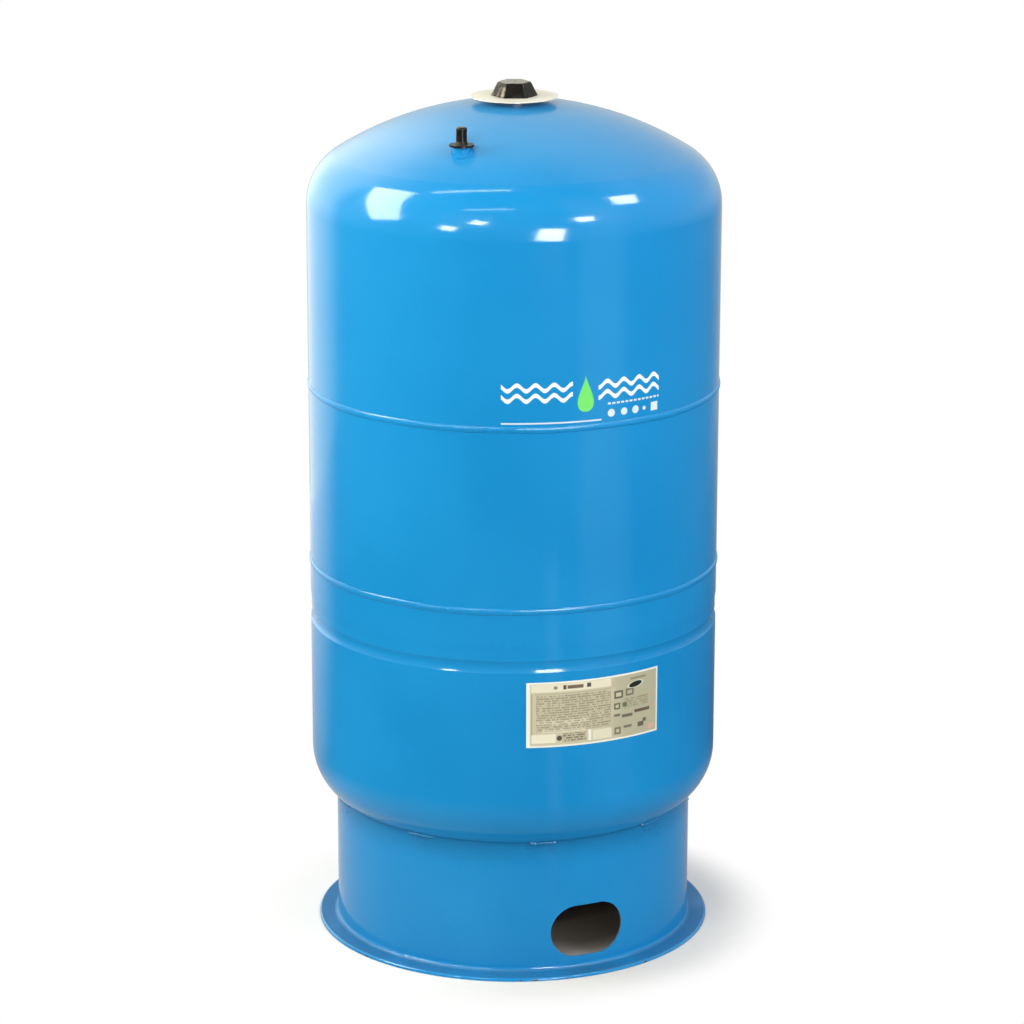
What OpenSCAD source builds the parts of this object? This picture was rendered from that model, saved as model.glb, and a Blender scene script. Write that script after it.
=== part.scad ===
// Standing pressure tank for a well water system.
// A three-piece welded steel shell on a pressed skirt holds a rubber diaphragm over a plastic liner.
// Water enters from below through an elbow. Air is charged through the valve on the top head.
// Millimetres. The origin is the centre of the foot on the floor, +Z is up, and the pipe port faces -Y.

/* [Tank shell] */
// Outer diameter of the steel shell
tank_d = 390.5; // [370:0.5:420]
// Height of the middle of the top dome above the floor
tank_h = 805; // [760:1:900]
// Outer radius of the shallow crown of each domed head
crown_r = 319; // [300:1:350]
// Outer radius of the knuckle between a crown and the straight wall
knuckle_r = 55; // [45:1:65]
// Thickness of the deep-drawn heads
head_t = 1.6; // [1.4:0.1:2.2]
// Thickness of the rolled centre ring
ring_t = 1.4; // [1.2:0.1:2]
// Height of the lowest point of the bottom dome above the floor
bottom_z = 81.7; // [78:0.1:92]
// Height of the bottom head's straight wall up to the lower girth seam
lower_wall_h = 188; // [178:1:210]
// Height of the centre ring between its two seams
ring_h = 172; // [120:1:240]

/* [Girth welds] */
// Length of the swaged head edge that slips inside the centre ring
lap_l = 9; // [6:0.5:14]
// Height of the sloped shoulder of that edge
lap_slope = 3; // [2:0.5:5]
// Width of a weld bead on the shell
bead_w = 7; // [5:0.5:9]
// Height of a weld bead above the shell
bead_h = 1.3; // [0.8:0.1:2]
// Direction of the centre ring's upright seam, in degrees from +X
ring_seam_turn = 75; // [40:5:140]

/* [Clamp groove] */
// Height of the rolled groove that locks the diaphragm above the start of the straight wall
groove_rise = 135; // [128:1:146]
// Radius of the groove's section
groove_r = 8; // [6:0.5:10]
// Depth of the groove
groove_depth = 2.8; // [2:0.1:3.4]
// Radius of the soft shoulder above the groove
shoulder_r = 60; // [40:1:80]
// Depth of the soft shoulder
shoulder_depth = 0.9; // [0.5:0.1:1.4]
// Height of the middle of the soft shoulder above the groove
shoulder_rise = 10; // [6:1:12]

/* [Skirt] */
// Distance of the skirt's upright wall inside the tank's wall
skirt_inset = 23.5; // [20:0.1:30]
// Thickness of the skirt steel
skirt_t = 2; // [1.6:0.1:2.8]
// Reach of the foot flange beyond the skirt's wall
foot_reach = 18.5; // [16:0.1:24]
// Radius of the curve from wall to foot flange
flare_r = 4; // [3:0.1:8]
// Radius inside the curled outer edge of the foot
curl_r = 0.4; // [0.2:0.1:2]
// Height of the upright rim below the curl
rim_h = 0.8; // [0.5:0.1:3]
// Width of the pipe port in the skirt
port_w = 74; // [64:1:84]
// Height of the pipe port
port_h = 51; // [44:0.1:52]
// Distance of the port's middle below the middle of the thread
port_drop = 1.5; // [0:0.1:3]
// Number of weld stitches between skirt and bottom head
stitches = 9; // [4:1:12]
// Arc of one stitch, in degrees
stitch_arc = 9.5; // [6:0.5:24]
// Radius of the stitch bead's section
stitch_r = 2.5; // [2.2:0.1:4]
// Direction of the first stitch, in degrees from -Y
stitch_turn = -15; // [-40:1:20]

/* [Water connection] */
// Height of the middle of the threaded mouth above the floor
mouth_z = 41.3; // [38:0.1:46]
// Distance of the mouth in front of the tank's middle
mouth_y = 58; // [52:1:80]
// Radius at the roots of the 1 inch pipe thread
thread_r = 16.6; // [15:0.1:17.5]
// Length of the thread
thread_l = 20; // [16:0.5:24]
// Radius of the water passage
water_r = 13.2; // [10:0.1:13.6]
// Outer radius of the elbow's two legs
leg_r = 21; // [20.5:0.1:24]
// Across-corners radius of the eight-sided wrench band
band_r = 25; // [23.5:0.1:28]
// Length of the wrench band
band_l = 18; // [12:1:24]
// Radius of the collar that meets the head
collar_r = 26; // [25:0.5:30]
// Thickness of the collar
collar_t = 4; // [3:0.5:6]
// Width of the weld round the collar
collar_weld_w = 5; // [3:0.5:7]

/* [Diaphragm and liner] */
// Thickness of the moulded liner
liner_t = 1.8; // [1.2:0.1:2.6]
// Thickness of the rubber diaphragm
rubber_t = 2.5; // [1.8:0.1:3.2]
// Thickness of the steel clamp hoop
hoop_t = 2; // [1.4:0.1:3]
// Height of the clamp hoop
hoop_h = 28; // [26:1:34]
// Height of the liner's edge above the groove
liner_rise = 14; // [12:1:18]
// Radius of the bead on the diaphragm's edge
rim_bead_r = 2.4; // [1.8:0.1:3]
// Radius of the thick pad in the middle of the diaphragm
pad_r = 24; // [16:1:40]
// Extra thickness of that pad
pad_t = 1.5; // [0.5:0.1:3]
// Outer radius of the liner's neck inside the elbow
neck_r = 16.8; // [16.2:0.1:17.4]
// Length of the neck
neck_l = 10; // [8:0.5:14]
// Radius of the neck's O-ring section
neck_ring_r = 0.8; // [0.6:0.05:1]
// Thickness of the water diffuser
diffuser_t = 3; // [2:0.5:4]
// Width of the liner's ledge under the diffuser
ledge_w = 1; // [0.5:0.1:2]
// Radius of a hole in the diffuser
diffuser_hole_r = 1.9; // [1.2:0.1:2]
// Holes in the diffuser's outer row
diffuser_holes = 12; // [8:1:12]

/* [Top plug] */
// Radius across the corners of the hexagonal head at its foot
plug_r = 22.6; // [19:0.1:25]
// Radius across the corners at its top
plug_top_r = 15.5; // [12:0.1:18]
// Height of the hexagonal head
plug_h = 13.5; // [10:0.5:18]
// Radius of the rounded edges of the head
plug_edge_r = 2; // [1:0.1:3]
// Turn of the hexagon, in degrees
plug_turn = 35.5; // [0:0.5:60]
// Outer radius of the plug's shank
shank_r = 13; // [11:0.1:14]
// Length of the shank
shank_l = 17; // [12:1:22]
// Wall of the hollow shank
shank_wall = 3; // [2:0.1:4]
// Outer radius of the round plastic washer
washer_r = 41; // [34:0.5:44]
// Thickness of the washer
washer_t = 0.9; // [0.6:0.1:2]
// Outer radius of the welded spud's neck
spud_r = 17.4; // [16.8:0.1:18.5]
// Height of the spud's end above the top of the dome
spud_rise = 3.7; // [2.5:0.1:6]
// Outer radius of the spud's flange inside the head
spud_flange_r = 23; // [21:0.5:28]
// Thickness of that flange
spud_flange_t = 3; // [2:0.5:5]
// Section radius of the plug's O-ring
plug_ring_r = 1.2; // [0.8:0.1:1.4]

/* [Air valve] */
// Distance of the valve inside the tank's wall
valve_inset = 65.3; // [60:0.1:90]
// Direction of the valve, in degrees from -Y
valve_turn = -46; // [-90:1:90]
// Height of the boss's flat top above the dome at the highest place of its weld
boss_lip = 1; // [0.6:0.1:3]
// Outer radius of the boss
boss_r = 8.4; // [8:0.1:10.5]
// Radius of the boss's neck through the head
boss_neck_r = 7; // [6.4:0.1:7.5]
// Length of that neck below the flat top
boss_neck_l = 15; // [15:0.5:20]
// Width and height of the weld round the boss
boss_weld_w = 2; // [1:0.1:2.4]
// Radius of the stem's threaded root in the boss
root_r = 4.9; // [4.6:0.1:5.4]
// Radius over the stem's valve thread
stem_r = 3.85; // [3.6:0.05:4]
// Height of the stem above the boss
stem_h = 13; // [10:0.1:14]
// Radius of the stem's upper bore
core_r = 2.65; // [2.4:0.05:2.9]
// Depth of that bore
core_depth = 8; // [7:0.1:9.5]
// Length of the core's nose below that bore
core_nose_l = 3; // [2:0.1:4]
// Thickness of the core's gasket with its two gaps
gasket_t = 1; // [0.6:0.1:1.2]
// Radius of the stem's lower bore
air_r = 2.15; // [1.9:0.05:2.3]
// Radius of the valve pin
pin_r = 0.65; // [0.5:0.05:0.75]
// Radius of the pin's head
pin_head_r = 1.5; // [1.3:0.05:1.6]
// Height of the pin's head
pin_head_h = 1; // [0.6:0.1:1.4]
// Depth of the pin's head below the stem's end
pin_recess = 0.3; // [0.1:0.1:0.6]
// Travel of the pin when it is pressed
pin_travel = 1.5; // [1:0.1:1.8]
// Radius of the spring well
spring_well_r = 1.75; // [1.7:0.05:1.85]
// Free height left in the spring when the pin is fully pressed
spring_slack = 0.2; // [0.1:0.1:0.5]
// Radius of the spring wire
wire_r = 0.18; // [0.12:0.01:0.2]
// Turns of the spring
spring_turns = 6; // [4:1:7]
// Thickness of the pin's rubber seal
seal_t = 1; // [0.6:0.1:1.4]
// Thickness of the pin's foot under the seal
foot_t = 0.6; // [0.4:0.1:1]
// Outer radius of the cap's barrel
cap_r = 5; // [4.8:0.05:5.4]
// Height of the cap above its brim's underside
cap_h = 17.5; // [16:0.1:20]
// Free height in the cap above the stem
cap_room = 1; // [0.5:0.1:1.5]
// Height of the cone between brim and barrel
cap_cone_h = 3; // [1:0.1:4]
// Width of that cone at its foot
cap_cone_w = 0.8; // [0.3:0.1:1.5]
// Gap between the boss and the brim, which the cap's seal fills
brim_gap = 0.3; // [0.1:0.05:0.5]
// Radius of the cap's rounded top edge
cap_round = 1.8; // [1:0.1:2.2]
// Outer radius of the cap's brim
brim_r = 11.5; // [10:0.1:12]
// Thickness of the brim
brim_t = 1.8; // [1.5:0.1:3]
// Radius of the cap seal's section
cap_ring_r = 0.75; // [0.5:0.05:0.8]
// Radius of the cap seal's circle
cap_ring_x = 6.6; // [6.2:0.1:7.6]

/* [Rating label] */
// Length of the label round the shell
label_w = 136; // [100:1:180]
// Height of the label
label_h = 63; // [40:1:68]
// Height of the label's lower edge above the start of the straight wall
label_rise = 57; // [20:1:59]
// Thickness of the label film
label_t = 0.25; // [0.1:0.05:0.5]
// Direction of the label's middle, in degrees from -Y
label_turn = -1; // [-30:1:30]

/* [Fits] */
// Gap between a weld or seated piece and the steel it lies on
seat_gap = 0.05; // [0.02:0.01:0.1]
// Radial clearance of a slip fit
slip_gap = 0.1; // [0.05:0.01:0.1]

/* [Hidden] */
$fn = 96;

enamel = "#2593d6";
steel = "#b9bcc0";
plated = "#cfd2d4";
brass = "#c9a04a";
black_plastic = "#17181a";
rubber = "#222222";
liner_white = "#e9eae6";
washer_cream = "#efeadb";
label_cream = "#e8e2cf";

far = 2 * tank_h;
over = 1;
tank_r = tank_d / 2;
knuckle_x = tank_r - knuckle_r;
crown_drop = sqrt(pow(crown_r - knuckle_r, 2) - pow(knuckle_x, 2));
dish_h = crown_r - crown_drop;
top_wall_z = tank_h - dish_h;
wall_z = bottom_z + dish_h;
groove_z = wall_z + groove_rise;
seam_z = wall_z + lower_wall_h;
upper_seam_z = seam_z + ring_h;
skirt_r = tank_r - skirt_inset;
foot_r = skirt_r + foot_reach;
curl_out = skirt_t + curl_r;
port_z = mouth_z - port_drop;
valve_x = tank_r - valve_inset;
boss_z = crown_z(valve_x - boss_r - boss_weld_w) + boss_lip;
stem_top = boss_z + stem_h;
pin_top = stem_top - pin_recess;
spring_depth = pin_recess + pin_head_h + pin_travel + 2 * wire_r * (spring_turns + 1) + spring_slack;
spring_floor = stem_top - spring_depth;
seat_z = stem_top - core_depth;
core_bottom = seat_z - core_nose_l;
cap_base = boss_z + brim_gap;
spud_top = tank_h + spud_rise;
plug_base = spud_top + washer_t + seat_gap * 2;
neck_top = bottom_z + head_t + seat_gap;
collar_z = bottom_z - seat_gap;

// Height of the outer surface of the top dome at a distance from the middle, on its crown
function crown_z(x) = tank_h - crown_r + sqrt(pow(crown_r, 2) - pow(x, 2));

// Height of the underside of the bottom dome at a distance from the middle, on its crown
function under_z(x) = wall_z + crown_drop - sqrt(pow(crown_r, 2) - pow(x, 2));

// Radius of a round cap that is w wide and h high
function cap_radius(w, h) = (pow(h, 2) + pow(w / 2, 2)) / (2 * h);

// Half outline of a domed head on its tangent line, drawn in from the outer surface by inset
module dish_2d(inset) {
    intersection() {
        translate([0, -crown_drop]) circle(crown_r - inset, $fn = 720);
        polygon([[0, 0], [knuckle_x, 0], [2 * knuckle_x, crown_drop], [0, crown_drop]]);
    }
    intersection() {
        translate([knuckle_x, 0]) circle(knuckle_r - inset, $fn = 240);
        square(tank_d);
    }
}

// Sections of the rolled groove and of its soft upper shoulder, grown with the depth in the wall
module groove_2d(inset) {
    translate([tank_r + groove_r - groove_depth, groove_z]) circle(groove_r + inset);
    translate([tank_r + shoulder_r - shoulder_depth, groove_z + shoulder_rise])
        circle(shoulder_r + inset, $fn = 240);
}

// Half outline of the whole closed tank, drawn in from the outer surface by inset
module tank_2d(inset) {
    difference() {
        translate([0, wall_z]) square([tank_r - inset, top_wall_z - wall_z]);
        groove_2d(inset);
    }
    translate([0, top_wall_z]) dish_2d(inset);
    translate([0, wall_z]) mirror([0, 1]) dish_2d(inset);
}

// Wall layer of the tank between two depths and two heights
module layer_2d(outer, inner, low, high) {
    intersection() {
        difference() {
            tank_2d(outer);
            tank_2d(inner);
        }
        translate([0, low]) square([tank_d, high - low]);
    }
}

// What a head gives up to slip inside the centre ring: side is 1 above the seam and -1 below it
module swage_2d(at, side, inset) {
    slip = tank_r - ring_t - seat_gap - inset;
    translate([0, at]) scale_z(side) polygon([
        [tank_r - inset, lap_slope], [slip, 0], [slip, -far], [tank_d, -far], [tank_d, lap_slope]
    ]);
}

// Mirrors an outline in the horizontal line when side is -1
module scale_z(side) {
    mirror([0, side < 0 ? 1 : 0]) children();
}

// Outline of a head with its swaged edge, drawn in by inset
module head_2d(at, side, inset) {
    difference() {
        tank_2d(inset);
        swage_2d(at, side, inset);
    }
}

// Solid of the tank's outer form, grown by seat_gap, that welds and boss are cut to
module tank_form() {
    rotate_extrude($fn = 720) tank_2d(-seat_gap);
}

module at_valve() {
    rotate(valve_turn) translate([0, -valve_x]) children();
}

module top_head() {
    color(enamel) difference() {
        rotate_extrude() intersection() {
            difference() {
                head_2d(upper_seam_z, 1, 0);
                head_2d(upper_seam_z, 1, head_t);
            }
            translate([0, upper_seam_z - lap_l]) square([tank_d, far]);
        }
        translate([0, 0, top_wall_z]) cylinder(r = spud_r + seat_gap, h = tank_h);
        at_valve() translate([0, 0, top_wall_z]) cylinder(r = boss_neck_r + seat_gap, h = tank_h);
    }
}

module centre_ring() {
    color(enamel) translate([0, 0, seam_z]) difference() {
        cylinder(r = tank_r, h = ring_h);
        translate([0, 0, -over]) cylinder(r = tank_r - ring_t, h = ring_h + 2 * over);
    }
}

module bottom_head() {
    color(enamel) difference() {
        rotate_extrude() intersection() {
            difference() {
                head_2d(seam_z, -1, 0);
                head_2d(seam_z, -1, head_t);
            }
            square([tank_d, seam_z + lap_l]);
        }
        cylinder(r = leg_r + seat_gap, h = wall_z);
    }
}

// Section of a girth weld: a round cap outside and a root in the V between head and ring
module girth_weld_2d(at, side) {
    r = cap_radius(bead_w, bead_h);
    root = lap_slope - seat_gap * 4;
    translate([0, at]) scale_z(side) {
        difference() {
            translate([tank_r + bead_h - r, 0]) circle(r);
            translate([0, -far / 2]) square([tank_r + seat_gap, far]);
        }
        polygon([
            [tank_r + bead_h / 2, seat_gap], [tank_r + bead_h / 2, root],
            [tank_r - ring_t / 3, seat_gap + root / 3], [tank_r - ring_t / 3, seat_gap]
        ]);
    }
}

module upper_girth_weld() {
    color(enamel) rotate_extrude() girth_weld_2d(upper_seam_z, 1);
}

module lower_girth_weld() {
    color(enamel) rotate_extrude() girth_weld_2d(seam_z, -1);
}

module ring_seam_weld() {
    r = cap_radius(bead_w, bead_h);
    color(enamel) translate([0, 0, seam_z + bead_w / 2 + seat_gap]) difference() {
        rotate(ring_seam_turn) translate([tank_r + bead_h - r, 0])
            cylinder(r = r, h = ring_h - bead_w - 2 * seat_gap);
        translate([0, 0, -over]) cylinder(r = tank_r + seat_gap, h = ring_h, $fn = 1440);
    }
}

// Section of the skirt: upright wall, flared foot and curled edge, cut to the head above
module skirt_2d() {
    foot_top = rim_h + curl_out;
    flare_x = skirt_r + flare_r;
    difference() {
        union() {
            translate([skirt_r - skirt_t, foot_top + flare_r])
                square([skirt_t, wall_z - foot_top - flare_r]);
            intersection() {
                translate([flare_x, foot_top + flare_r]) difference() {
                    circle(flare_r + skirt_t);
                    circle(flare_r);
                }
                translate([0, foot_top - skirt_t]) square([flare_x, flare_r + skirt_t]);
            }
            translate([flare_x, foot_top - skirt_t]) square([foot_r - curl_out - flare_x, skirt_t]);
            translate([foot_r - curl_out, rim_h]) intersection() {
                difference() {
                    circle(curl_out);
                    circle(curl_r);
                }
                square(curl_out);
            }
            translate([foot_r - skirt_t, 0]) square([skirt_t, rim_h]);
        }
        translate([0, wall_z]) mirror([0, 1]) dish_2d(-seat_gap);
    }
}

// Outline of the pipe port, long and round-ended
module port_2d() {
    straight = port_w - port_h;
    translate([-straight / 2, port_z - port_h / 2]) square([straight, port_h]);
    for (side = [-1, 1]) translate([side * straight / 2, port_z]) circle(port_h / 2);
}

module base_skirt() {
    color(enamel) difference() {
        rotate_extrude() skirt_2d();
        rotate([90, 0, 0]) linear_extrude(tank_d) port_2d();
    }
}

module skirt_welds() {
    corner_z = wall_z - sqrt(pow(knuckle_r, 2) - pow(skirt_r - knuckle_x, 2));
    color(enamel) for (i = [0 : stitches - 1])
        rotate(stitch_turn - 90 - stitch_arc / 2 + i * 360 / stitches)
            rotate_extrude(angle = stitch_arc) difference() {
                translate([skirt_r + stitch_r / 4, corner_z - stitch_r / 8]) circle(stitch_r);
                square([skirt_r + seat_gap, wall_z]);
                translate([0, wall_z]) mirror([0, 1]) dish_2d(-seat_gap);
            }
}

module water_elbow() {
    neck_room = neck_l + seat_gap * 4;
    color(steel) difference() {
        union() {
            translate([0, 0, mouth_z]) sphere(leg_r);
            translate([0, 0, mouth_z]) cylinder(r = leg_r, h = bottom_z + head_t - mouth_z - seat_gap);
            translate([0, 0, collar_z - collar_t]) cylinder(r = collar_r, h = collar_t);
            translate([0, 0, mouth_z]) rotate([90, 0, 0]) cylinder(r = leg_r, h = mouth_y);
            translate([0, band_l - mouth_y, mouth_z]) rotate([90, 0, 0]) rotate(22.5)
                cylinder(r = band_r, h = band_l, $fn = 8);
        }
        translate([0, 0, mouth_z]) sphere(water_r);
        translate([0, 0, mouth_z]) cylinder(r = water_r, h = tank_h);
        translate([0, 0, mouth_z]) rotate([90, 0, 0]) cylinder(r = water_r, h = tank_d);
        translate([0, thread_l - mouth_y, mouth_z]) rotate([90, 0, 0]) cylinder(r = thread_r, h = tank_d);
        translate([0, 0, neck_top - neck_room]) cylinder(r = neck_r + slip_gap, h = tank_h);
    }
}

module elbow_weld() {
    color(enamel) rotate_extrude() difference() {
        polygon([
            [collar_r + seat_gap, collar_z - collar_t * 0.75],
            [collar_r + seat_gap + collar_weld_w * 0.7, collar_z - collar_t * 0.2],
            [collar_r + seat_gap + collar_weld_w, under_z(collar_r + collar_weld_w)],
            [collar_r + seat_gap, wall_z]
        ]);
        translate([0, wall_z]) mirror([0, 1]) dish_2d(-seat_gap);
    }
}

module liner() {
    outer = head_t + seat_gap;
    ledge_z = neck_top + liner_t - seat_gap - diffuser_t;
    color(liner_white) difference() {
        union() {
            rotate_extrude() layer_2d(outer, outer + liner_t, 0, groove_z + liner_rise);
            translate([0, 0, neck_top - neck_l]) difference() {
                cylinder(r = neck_r, h = neck_l + liner_t / 2);
                translate([0, 0, neck_l / 3]) rotate_extrude()
                    translate([neck_r + slip_gap - neck_ring_r, 0]) square(2.2 * neck_ring_r, center = true);
            }
        }
        translate([0, 0, ledge_z]) cylinder(r = water_r + slip_gap, h = wall_z);
        translate([0, 0, mouth_z]) cylinder(r = water_r - ledge_w, h = wall_z);
    }
}

module liner_o_ring() {
    color(rubber) translate([0, 0, neck_top - neck_l * 2 / 3]) rotate_extrude()
        translate([neck_r + slip_gap - seat_gap - neck_ring_r, 0]) circle(neck_ring_r);
}

// A ring of holes through the diffuser
module hole_row(count, row_r) {
    for (i = [1 : count]) rotate(i * 360 / count) translate([row_r, 0, -over])
        cylinder(r = diffuser_hole_r, h = diffuser_t + 2 * over);
}

module water_diffuser() {
    color(liner_white) translate([0, 0, neck_top + liner_t - seat_gap - diffuser_t]) difference() {
        cylinder(r = water_r, h = diffuser_t - seat_gap);
        hole_row(diffuser_holes, water_r - diffuser_hole_r * 2);
        hole_row(diffuser_holes / 2, water_r - diffuser_hole_r * 4.4);
    }
}

module diaphragm() {
    outer = head_t + liner_t + 2 * seat_gap;
    inner = outer + rubber_t;
    bead_x = tank_r - head_t - seat_gap - rim_bead_r;
    rim_z = groove_z + liner_rise + seat_gap + rim_bead_r;
    color(rubber) rotate_extrude() {
        layer_2d(outer, inner, 0, rim_z);
        difference() {
            translate([bead_x, rim_z]) circle(rim_bead_r);
            translate([tank_r + shoulder_r - shoulder_depth, groove_z + shoulder_rise])
                circle(shoulder_r + head_t + seat_gap, $fn = 240);
        }
        intersection() {
            difference() {
                tank_2d(inner - seat_gap);
                tank_2d(inner + pad_t);
            }
            square([pad_r, wall_z]);
        }
    }
}

module clamp_hoop() {
    outer = head_t + liner_t + rubber_t + 3 * seat_gap;
    color(plated) rotate_extrude()
        layer_2d(outer, outer + hoop_t, groove_z - hoop_h / 2, groove_z + hoop_h / 2);
}

module plug_spud() {
    flange_z = crown_z(spud_flange_r) - head_t - 2 * seat_gap;
    color(steel) difference() {
        union() {
            translate([0, 0, flange_z - spud_flange_t]) cylinder(r = spud_flange_r, h = spud_flange_t);
            translate([0, 0, flange_z - spud_flange_t])
                cylinder(r = spud_r, h = spud_top - flange_z + spud_flange_t);
        }
        translate([0, 0, wall_z]) cylinder(r = shank_r + slip_gap, h = tank_h);
        translate([0, 0, spud_top - 2 * plug_ring_r])
            cylinder(r = shank_r + 2 * plug_ring_r + slip_gap + seat_gap, h = tank_h);
    }
}

module plug_o_ring() {
    color(rubber) translate([0, 0, spud_top - plug_ring_r + seat_gap]) rotate_extrude()
        translate([shank_r + slip_gap + plug_ring_r, 0]) circle(plug_ring_r);
}

// Flat washer that lies on the spud and stands clear of the dome
module top_washer() {
    color(washer_cream) translate([0, 0, spud_top + seat_gap]) difference() {
        cylinder(r = washer_r, h = washer_t);
        translate([0, 0, -over])
            cylinder(r = shank_r + 2 * plug_ring_r + seat_gap + slip_gap, h = washer_t + 2 * over);
    }
}

// Corner spheres of the plug's hexagonal head at one level
module hex_corners(r, z) {
    for (i = [0 : 5]) rotate(plug_turn + i * 60) translate([r - plug_edge_r / cos(30), 0, z])
        sphere(plug_edge_r, $fn = 20);
}

module top_plug() {
    color(black_plastic) {
        translate([0, 0, plug_base]) difference() {
            hull() {
                hex_corners(plug_r, 0);
                hex_corners(plug_top_r, plug_h - plug_edge_r);
            }
            translate([0, 0, -far]) cylinder(r = tank_d, h = far);
        }
        translate([0, 0, plug_base - shank_l]) difference() {
            cylinder(r = shank_r, h = shank_l + plug_h / 3);
            translate([0, 0, -over]) cylinder(r = shank_r - shank_wall, h = shank_l + over);
        }
    }
}

module valve_boss() {
    color(enamel) at_valve() difference() {
        translate([0, 0, boss_z - boss_neck_l]) {
            cylinder(r = boss_neck_r, h = boss_neck_l);
            intersection() {
                cylinder(r = boss_r, h = boss_neck_l);
                translate([0, valve_x, boss_neck_l - boss_z]) rotate(-valve_turn) outside_form();
            }
        }
        translate([0, 0, boss_z - 2 * boss_neck_l]) cylinder(r = root_r + slip_gap, h = 3 * boss_neck_l);
    }
}

// Everything outside the tank's outer form, out to a wide margin
module outside_form() {
    difference() {
        translate([0, 0, top_wall_z]) cylinder(r = tank_r, h = 2 * dish_h);
        tank_form();
    }
}

module boss_weld() {
    color(enamel) difference() {
        intersection() {
            rotate_extrude($fn = 720) tank_2d(-boss_weld_w);
            at_valve() translate([0, 0, top_wall_z])
                cylinder(r = boss_r + boss_weld_w, h = boss_z - boss_lip / 2 - top_wall_z);
        }
        tank_form();
        at_valve() translate([0, 0, top_wall_z]) cylinder(r = boss_r + seat_gap, h = tank_h);
    }
}

module valve_stem() {
    root_z = boss_z - boss_neck_l;
    chamfer = stem_r / 8;
    color(brass) at_valve() rotate_extrude() polygon([
        [air_r, root_z], [root_r, root_z], [root_r, boss_z], [stem_r, boss_z],
        [stem_r, stem_top - chamfer], [stem_r - chamfer, stem_top],
        [core_r, stem_top], [core_r, seat_z], [air_r, seat_z - (core_r - air_r)]
    ]);
}

module valve_core() {
    body_z = seat_z + gasket_t;
    color(brass) at_valve() difference() {
        union() {
            translate([0, 0, body_z]) cylinder(r = core_r - seat_gap, h = pin_top - pin_head_h / 2 - body_z);
            translate([0, 0, core_bottom]) cylinder(r = air_r - slip_gap, h = body_z - core_bottom);
        }
        translate([0, 0, core_bottom - over])
            cylinder(r = pin_r + slip_gap, h = core_depth + core_nose_l + over);
        translate([0, 0, spring_floor]) cylinder(r = spring_well_r, h = spring_depth + over);
    }
}

module core_gasket() {
    color(liner_white) at_valve() translate([0, 0, seat_z + seat_gap]) difference() {
        cylinder(r = core_r - seat_gap, h = gasket_t - 2 * seat_gap);
        translate([0, 0, -over]) cylinder(r = air_r - slip_gap + seat_gap, h = gasket_t + 2 * over);
    }
}

module valve_pin() {
    foot_z = core_bottom - seal_t - foot_t;
    color(plated) at_valve() {
        translate([0, 0, foot_z]) cylinder(r = pin_r, h = pin_top - foot_z);
        translate([0, 0, pin_top - pin_head_h]) cylinder(r = pin_head_r, h = pin_head_h);
        translate([0, 0, foot_z]) cylinder(r = air_r - 5 * slip_gap, h = foot_t);
    }
}

module pin_seal() {
    color(rubber) at_valve() translate([0, 0, core_bottom - seal_t]) difference() {
        cylinder(r = air_r - 4 * slip_gap, h = seal_t);
        translate([0, 0, -over]) cylinder(r = pin_r + seat_gap, h = seal_t + 2 * over);
    }
}

// Ring of points round the wire at a share of the helix, from its lower end to its upper end
function coil_ring(share, mid_r, height, sides) = let (turn = 360 * spring_turns * share)
    [for (i = [0 : sides - 1]) let (a = 360 * i / sides, r = mid_r + wire_r * cos(a))
        [r * cos(turn), r * sin(turn), height * share + wire_r * sin(a)]];

module coil(mid_r, height) {
    sides = 6;
    rings = 14 * spring_turns;
    points = [for (k = [0 : rings]) each coil_ring(k / rings, mid_r, height, sides)];
    skin = [for (k = [0 : rings - 1], i = [0 : sides - 1])
        let (j = (i + 1) % sides) [k * sides + i, (k + 1) * sides + i, (k + 1) * sides + j, k * sides + j]];
    first = [for (i = [0 : sides - 1]) i];
    last = [for (i = [sides - 1 : -1 : 0]) rings * sides + i];
    polyhedron(points, concat(skin, [first, last]), convexity = 10);
}

module valve_spring() {
    room = pin_top - pin_head_h - spring_floor;
    end_gap = wire_r + seat_gap;
    color(steel) at_valve() translate([0, 0, spring_floor + end_gap])
        coil((pin_r + spring_well_r) / 2 + wire_r / 4, room - 2 * end_gap);
}

module valve_cap() {
    bore_top = stem_top + cap_room;
    color(black_plastic) at_valve() difference() {
        union() {
            translate([0, 0, cap_base]) cylinder(r = brim_r, h = brim_t);
            translate([0, 0, cap_base + brim_t])
                cylinder(r1 = cap_r + cap_cone_w, r2 = cap_r, h = cap_cone_h);
            translate([0, 0, cap_base]) cylinder(r = cap_r, h = cap_h - cap_round);
            translate([0, 0, cap_base + cap_h - cap_round]) {
                cylinder(r = cap_r - cap_round, h = cap_round);
                rotate_extrude() translate([cap_r - cap_round, 0]) intersection() {
                    circle(cap_round);
                    square(cap_round);
                }
            }
        }
        translate([0, 0, boss_z - over]) cylinder(r = stem_r + slip_gap, h = bore_top - boss_z + over);
        translate([0, 0, cap_base]) rotate_extrude()
            translate([cap_ring_x, 0]) square([2.2 * cap_ring_r, 3.4 * cap_ring_r], center = true);
    }
}

module cap_o_ring() {
    color(rubber) at_valve() translate([0, 0, boss_z + cap_ring_r + seat_gap]) rotate_extrude()
        translate([cap_ring_x, 0]) circle(cap_ring_r);
}

module rating_label() {
    arc = label_w / tank_r * 180 / PI;
    label_z = wall_z + label_rise;
    color(label_cream) rotate(label_turn - 90 - arc / 2) rotate_extrude(angle = arc)
        translate([tank_r + seat_gap, label_z]) square([label_t, label_h]);
}

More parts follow.
